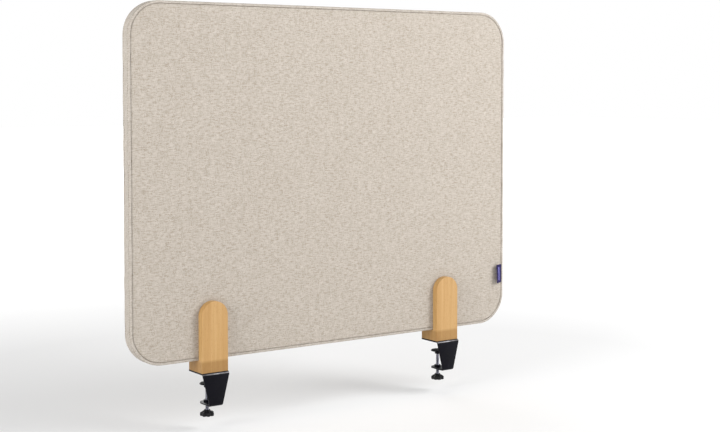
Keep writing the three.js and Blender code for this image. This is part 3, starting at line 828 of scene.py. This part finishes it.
def wood_fork(side):
    """Two round-topped tongues on a base block, in one piece, with softened edges."""
    low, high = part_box(f"{side}_wood_fork")
    x = (low.x + high.x) / 2
    radius = (high.x - low.x) / 2
    floor = low.z + FORK_BASE_HEIGHT
    arch = []
    for k in range(FORK_ARC_STEPS + 1):
        angle = math.pi * (1 - k / FORK_ARC_STEPS)
        arch.append((x + radius * math.cos(angle), high.z - radius + radius * math.sin(angle)))
    tongue = [(low.x, floor), *arch, (high.x, floor)]

    bm = bmesh.new()
    at = {}

    def vert(px, py, pz):
        key = tuple(round(value / SAME_POINT) for value in (px, py, pz))
        if key not in at:
            at[key] = bm.verts.new((px, py, pz))
        return at[key]

    def face(points):
        bm.faces.new([vert(*point) for point in points])

    def level(pz, front, back):
        face([(low.x, front, pz), (high.x, front, pz), (high.x, back, pz), (low.x, back, pz)])

    for outer, inner in ((low.y, SLOT_FRONT), (high.y, SLOT_BACK)):
        face([(low.x, outer, low.z), *[(px, outer, pz) for px, pz in tongue], (high.x, outer, low.z)])
        face([(px, inner, pz) for px, pz in tongue])
        for (ax, az), (bx, bz) in zip(tongue, tongue[1:]):
            face([(ax, outer, az), (bx, outer, bz), (bx, inner, bz), (ax, inner, az)])
    depths = (low.y, SLOT_FRONT, SLOT_BACK, high.y)
    for px in (low.x, high.x):
        face([(px, low.y, low.z), *[(px, y, floor) for y in depths], (px, high.y, low.z)])
    level(floor, SLOT_FRONT, SLOT_BACK)
    level(low.z, low.y, high.y)
    bmesh.ops.recalc_face_normals(bm, faces=bm.faces)

    mesh = bpy.data.meshes.new(f"{side}_beech_fork")
    bm.to_mesh(mesh)
    bm.free()
    mesh.materials.append(WOOD[side])
    mesh.polygons.foreach_set("use_smooth", [True] * len(mesh.polygons))
    fork = bpy.data.objects.new(mesh.name, mesh)
    bpy.context.scene.collection.objects.link(fork)
    weights = mesh.attributes.new("bevel_weight_edge", "FLOAT", "EDGE")
    for edge, weight in zip(mesh.edges, weights.data):
        ends = [mesh.vertices[i].co for i in edge.vertices]
        on_steel = all(end.z < floor - MM for end in ends) and abs(ends[0].z - ends[1].z) < MM
        in_slot = all(SLOT_FRONT - MM < end.y < SLOT_BACK + MM for end in ends)
        weight.value = FORK_FOOT_ROUND / FORK_EDGE_ROUND if on_steel or in_slot else 1.0
    bevel(fork, FORK_EDGE_ROUND, segments=5, limit="WEIGHT")
    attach(fork, "feet")
    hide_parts(f"{side}_wood_fork")


def bevel(obj, width, segments, limit="ANGLE"):
    """Rounds an object's sharp or weighted edges and keeps its flat faces flat."""
    modifier = obj.modifiers.new("soft_edges", "BEVEL")
    modifier.width = width
    modifier.segments = segments
    modifier.limit_method = limit
    modifier.angle_limit = math.radians(SHARP_ANGLE)
    modifier.harden_normals = True


# ---------------------------------------------------------------- clamps


def dress_cad(node, material, edge=0.0):
    """Gives a CAD node its material, and rounds its edges if asked to."""
    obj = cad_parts[node]
    obj.data.materials.clear()
    obj.data.materials.append(material)
    for polygon in obj.data.polygons:
        polygon.use_smooth = True
    weld = obj.modifiers.new("weld", "WELD")
    weld.merge_threshold = WELD_DISTANCE
    if edge:
        flat = obj.modifiers.new("flat_faces", "DECIMATE")
        flat.decimate_type = "DISSOLVE"
        flat.angle_limit = math.radians(FLAT_ANGLE)
        bevel(obj, edge, segments=3)


def helical_thread(x, y, root, low, high):
    """The surface of a right-hand thread, in rows of points that climb one pitch a turn.

    A row that has come round meets the row that starts one pitch up, so the last faces join those two."""
    verts = []
    for turn in range(-1, math.ceil((high - low) / THREAD_PITCH) + 1):
        for share, rise in THREAD_SHAPE:
            for i in range(THREAD_SIDES):
                angle = 2 * math.pi * i / THREAD_SIDES
                z = low + THREAD_PITCH * (turn + share + i / THREAD_SIDES)
                z = min(max(z, low), high)
                fade = min((z - low) / THREAD_RUNOUT, (high - z) / THREAD_RUNOUT, 1.0)
                r = root + THREAD_DEPTH * rise * max(fade, 0.0)
                verts.append((x + r * math.cos(angle), y + r * math.sin(angle), z))
    rows = len(verts) // THREAD_SIDES
    last = THREAD_SIDES - 1
    faces = []
    for row in range(rows - 1):
        here, above = row * THREAD_SIDES, (row + 1) * THREAD_SIDES
        for i in range(last):
            faces.append((here + i, here + i + 1, above + i + 1, above + i))
        one_turn_on = (row + len(THREAD_SHAPE)) * THREAD_SIDES
        if one_turn_on + THREAD_SIDES < len(verts):
            faces.append((here + last, one_turn_on, one_turn_on + THREAD_SIDES, above + last))
    faces = [face for face in faces if area_of([verts[i] for i in face]) > SLIVER]
    return verts, faces


def threaded_spindle(side, x, y):
    """A rod with a real helical thread, a neck and a ball on top."""
    low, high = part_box(f"{side}_spindle")
    root = (high.x - low.x) / 2 - THREAD_DEPTH
    thread_top = high.z - NECK_HEIGHT - SHOULDER_HEIGHT
    ball_centre = high.z - BALL_RADIUS
    first = -math.acos(NECK_RADIUS / BALL_RADIUS)
    profile = [(root, thread_top, 0), (NECK_RADIUS, thread_top + SHOULDER_TAPER, 0)]
    for k in range(BALL_STEPS + 1):
        angle = first + (math.pi / 2 - first) * k / BALL_STEPS
        profile.append((BALL_RADIUS * math.cos(angle), ball_centre + BALL_RADIUS * math.sin(angle), 0))
    thread_part = helical_thread(x, y, root, low.z, thread_top)
    ball_part = lathe(profile, x, y, sides=THREAD_SIDES)
    end_part = lathe([(0, low.z, 0), (root, low.z, 0)], x, y, sides=THREAD_SIDES)
    verts, faces = joined([thread_part, ball_part, end_part])
    name = f"{side}_threaded_spindle"
    piece(name, verts, faces, f"{side}_screw", "zinc_steel", ZINC, [f"{side}_spindle"])


def area_of(points):
    """The area of a four-sided face."""
    a, b, c, d = (Vector(point) for point in points)
    return (c - a).cross(d - b).length / 2


def lobed_knob(side, x, y):
    """A star grip with rounded lobes, a recessed cap below and a boss above."""
    low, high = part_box(f"{side}_star_knob")
    top = high.z - BOSS_HEIGHT
    turns = [2 * math.pi * i / KNOB_SIDES for i in range(KNOB_SIDES)]

    def star(inset, z):
        points = []
        for angle in turns:
            fullness = (0.5 + 0.5 * math.cos(KNOB_LOBES * angle)) ** LOBE_POWER
            r = high.x - x - LOBE_DEPTH * (1 - fullness) - inset
            points.append((x + r * math.cos(angle), y + r * math.sin(angle), z))
        return points

    def discs(profile, base):
        rings = []
        for r, rise in profile:
            z = base + rise * MM
            rings.append([(x + r * MM * math.cos(angle), y + r * MM * math.sin(angle), z) for angle in turns])
        return rings

    quarter = [math.pi / 2 * k / KNOB_EDGE_STEPS for k in range(KNOB_EDGE_STEPS + 1)]
    rings = discs(KNOB_CAP, low.z)
    rings.append(star(KNOB_FOOT_INSET, low.z))
    for angle in quarter[1:]:
        rings.append(star(KNOB_EDGE * (1 - math.sin(angle)), low.z + KNOB_EDGE * (1 - math.cos(angle))))
    for angle in quarter:
        rings.append(star(KNOB_EDGE * (1 - math.cos(angle)), top - KNOB_EDGE * (1 - math.sin(angle))))
    rings.append(star(KNOB_BROW_INSET, top + KNOB_BROW_RISE))
    rings += discs(KNOB_BOSS, top)
    rings += discs(KNOB_BORE, low.z)
    verts = [vert for ring in rings for vert in ring]
    faces = ring_faces(len(rings), KNOB_SIDES)
    faces.append(tuple(range(KNOB_SIDES)))
    faces.append(tuple(range(len(verts) - KNOB_SIDES, len(verts))))
    name = f"{side}_lobed_knob"
    piece(name, verts, faces, f"{side}_screw", "black_plastic", PLASTIC, [f"{side}_star_knob"])


def pressure_pad(side, x, y):
    """A turned disc with a rounded rim and a socket for the spindle's ball."""
    low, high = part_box(f"{side}_pressure_pad")
    radius = (high.x - low.x) / 2
    under = high.z - PAD_PLATE
    wall = SOCKET_BORE + SOCKET_WALL
    corners = [
        (0, under, 0),
        (SOCKET_BORE, under, 0.3 * MM),
        (SOCKET_BORE, low.z, 0.2 * MM),
        (wall, low.z, 0.5 * MM),
        (wall, under - 0.4 * MM, 1.2 * MM),
        (radius - 0.2 * MM, under + 0.4 * MM, 0.4 * MM),
        (radius, high.z, 0.5 * MM),
        (0, high.z, 0),
    ]
    name = f"{side}_turned_pad"
    piece(name, *lathe(corners, x, y), f"{side}_pad", "black_steel", POWDER_COAT, [f"{side}_pressure_pad"])


def pad_facing(side, x, y):
    """A rubber disc with shallow rings moulded in its face."""
    low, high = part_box(f"{side}_pad_facing")
    radius = (high.x - low.x) / 2
    corners = [(0, low.z, 0), (radius, low.z, 0.1 * MM), (radius, high.z, 0.35 * MM)]
    for ring in FACING_RINGS:
        corners += [
            (ring + FACING_RING_HALF_WIDTH, high.z, 0.1 * MM),
            (ring, high.z - FACING_RING_DEPTH, 0.1 * MM),
            (ring - FACING_RING_HALF_WIDTH, high.z, 0.1 * MM),
        ]
    corners.append((0, high.z, 0))
    name = f"{side}_ringed_facing"
    piece(name, *lathe(corners, x, y), f"{side}_pad", "black_rubber", RUBBER, [f"{side}_pad_facing"])


def clinch_nut(side, x, y):
    """A round nut pressed into the bottom flange, its collar on top."""
    low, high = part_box(f"{side}_clinch_nut")
    collar = (high.x - low.x) / 2
    seat = high.z - NUT_COLLAR
    corners = [
        (NUT_BORE, low.z, 0.25 * MM),
        (NUT_SHANK, low.z, 0.25 * MM),
        (NUT_SHANK, seat, 0),
        (collar, seat, 0.2 * MM),
        (collar, high.z, 0.5 * MM),
        (NUT_BORE, high.z, 0.3 * MM),
    ]
    parts = lathe(corners, x, y, closed=True)
    piece(f"{side}_round_nut", *parts, "feet", "black_steel", POWDER_COAT, [f"{side}_clinch_nut"])


def foot(side):
    """One fork and its clamp. The screw's pieces share the spindle's axis."""
    low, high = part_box(f"{side}_spindle")
    x, y = (low.x + high.x) / 2, (low.y + high.y) / 2
    wood_fork(side)
    dress_cad(f"{side}_clamp_frame", POWDER_COAT, edge=CLAMP_EDGE_ROUND)
    dress_cad(f"{side}_desk_protector", RUBBER)
    for number in (1, 2):
        dress_cad(f"{side}_fork_screw_{number}", ZINC)
    clinch_nut(side, x, y)
    pressure_pad(side, x, y)
    pad_facing(side, x, y)
    threaded_spindle(side, x, y)
    lobed_knob(side, x, y)


# ---------------------------------------------------------------- build

cloth_face("front_face_cloth", PANEL_FRONT, 1, 3.1, "front_cover")
cloth_face("back_face_cloth", PANEL_BACK, -1, 7.7, "back_cover")
edge_band()
stitching("front_stitching", PANEL_FRONT, 1)
stitching("back_stitching", PANEL_BACK, -1)
seam_tab()
dress_cad("core_frame", PLYWOOD)
dress_cad("absorber_slab", ABSORBER)
dress_cad("front_wadding", WADDING)
dress_cad("back_wadding", WADDING)
for side in SIDES:
    foot(side)

# ---------------------------------------------------------------- stage, light and camera

FLOOR_SIZE = 30.0
FLOOR_COLOR = (0.76, 0.76, 0.76)
KNOB_CLEARANCE = 22 * MM  # over the floor, enough for the knobs when they are screwed right down
GLOW_NEAR, GLOW_FAR = 0.9, 4.0  # the floor glows more from the one distance to the other
GLOW_LOW, GLOW_HIGH = 0.10, 1.0
AMBIENT = 0.51  # the white surroundings' share of the light
LENS, SENSOR = 68.5, 36  # millimetres
LENS_SHIFT = -0.0972222  # of the picture's width
CAMERA_PLACE = (-1.372, -2.000, 0.4885)
YAW, PITCH = math.radians(35.36), math.radians(2.63)


def pale_floor():
    """A wide matt floor that fades into the white surroundings."""
    mesh = bpy.data.meshes.new("floor")
    half = FLOOR_SIZE / 2
    z = cad_box[0].z - KNOB_CLEARANCE
    corners = [(-half, -half, z), (half, -half, z), (half, half, z), (-half, half, z)]
    mesh.from_pydata(corners, [], [(0, 1, 2, 3)])
    floor = bpy.data.objects.new("floor", mesh)
    bpy.context.scene.collection.objects.link(floor)
    pale = Nodes("pale_floor", roughness=0.9, specular=0.1)
    pale.color(FLOOR_COLOR)
    distance = pale.tree.nodes.new("ShaderNodeVectorMath")
    distance.operation = "LENGTH"
    pale.link(pale.place, distance.inputs[0])
    glow = pale.between(distance.outputs["Value"], GLOW_NEAR, GLOW_FAR, GLOW_LOW, GLOW_HIGH)
    pale.set(pale.surface.inputs["Emission Color"], WHITE)
    pale.link(glow, pale.surface.inputs["Emission Strength"])
    mesh.materials.append(pale.material)


def white_surroundings():
    """Plain white to the camera, and dimmer as a light."""
    world = bpy.data.worlds.new("studio")
    bpy.context.scene.world = world
    world.use_nodes = True
    backdrop = world.node_tree.nodes["Background"]
    backdrop.inputs["Color"].default_value = (*WHITE, 1.0)
    seen = world.node_tree.nodes.new("ShaderNodeLightPath").outputs["Is Camera Ray"]
    strength = world.node_tree.nodes.new("ShaderNodeMapRange")
    strength.inputs["To Min"].default_value = AMBIENT
    world.node_tree.links.new(seen, strength.inputs["Value"])
    world.node_tree.links.new(strength.outputs["Result"], backdrop.inputs["Strength"])


def softbox(name, place, target, size, watts, roll=0.0):
    """A rectangular lamp aimed at a target, turned about its own line of aim by roll degrees."""
    light = bpy.data.lights.new(name, "AREA")
    light.shape = "RECTANGLE"
    light.size, light.size_y = size
    light.energy = watts
    obj = bpy.data.objects.new(name, light)
    bpy.context.scene.collection.objects.link(obj)
    obj.location = place
    obj.rotation_mode = "QUATERNION"
    aim = (Vector(target) - Vector(place)).to_track_quat("-Z", "Y")
    obj.rotation_quaternion = aim @ Quaternion((0, 0, 1), math.radians(roll))


def studio_camera():
    """A long lens to the left of the panel, shifted so that upright edges stay nearly upright."""
    lens = bpy.data.cameras.new("camera")
    lens.sensor_width = SENSOR
    lens.lens = LENS
    lens.shift_y = LENS_SHIFT
    camera = bpy.data.objects.new("camera", lens)
    bpy.context.scene.collection.objects.link(camera)
    camera.location = CAMERA_PLACE
    facing = Vector((math.sin(YAW) * math.cos(PITCH), math.cos(YAW) * math.cos(PITCH), -math.sin(PITCH)))
    camera.rotation_mode = "QUATERNION"
    camera.rotation_quaternion = facing.to_track_quat("-Z", "Y")
    bpy.context.scene.camera = camera


pale_floor()
white_surroundings()
softbox("key", (2.0, -2.05, 1.6), (0.05, 0.0, 0.15), (1.4, 3.0), 94, roll=-35)
softbox("left_fill", (-4.2, -0.95, 1.3), (0.0, 0.0, 0.2), (2.2, 2.2), 120)
softbox("back_fill", (1.2, 3.6, 1.8), (0.0, 0.0, 0.2), (2.4, 2.4), 36)
studio_camera()
bpy.context.scene.view_settings.view_transform = "Standard"
bpy.context.scene.view_settings.look = "None"

bpy.context.view_layer.update()
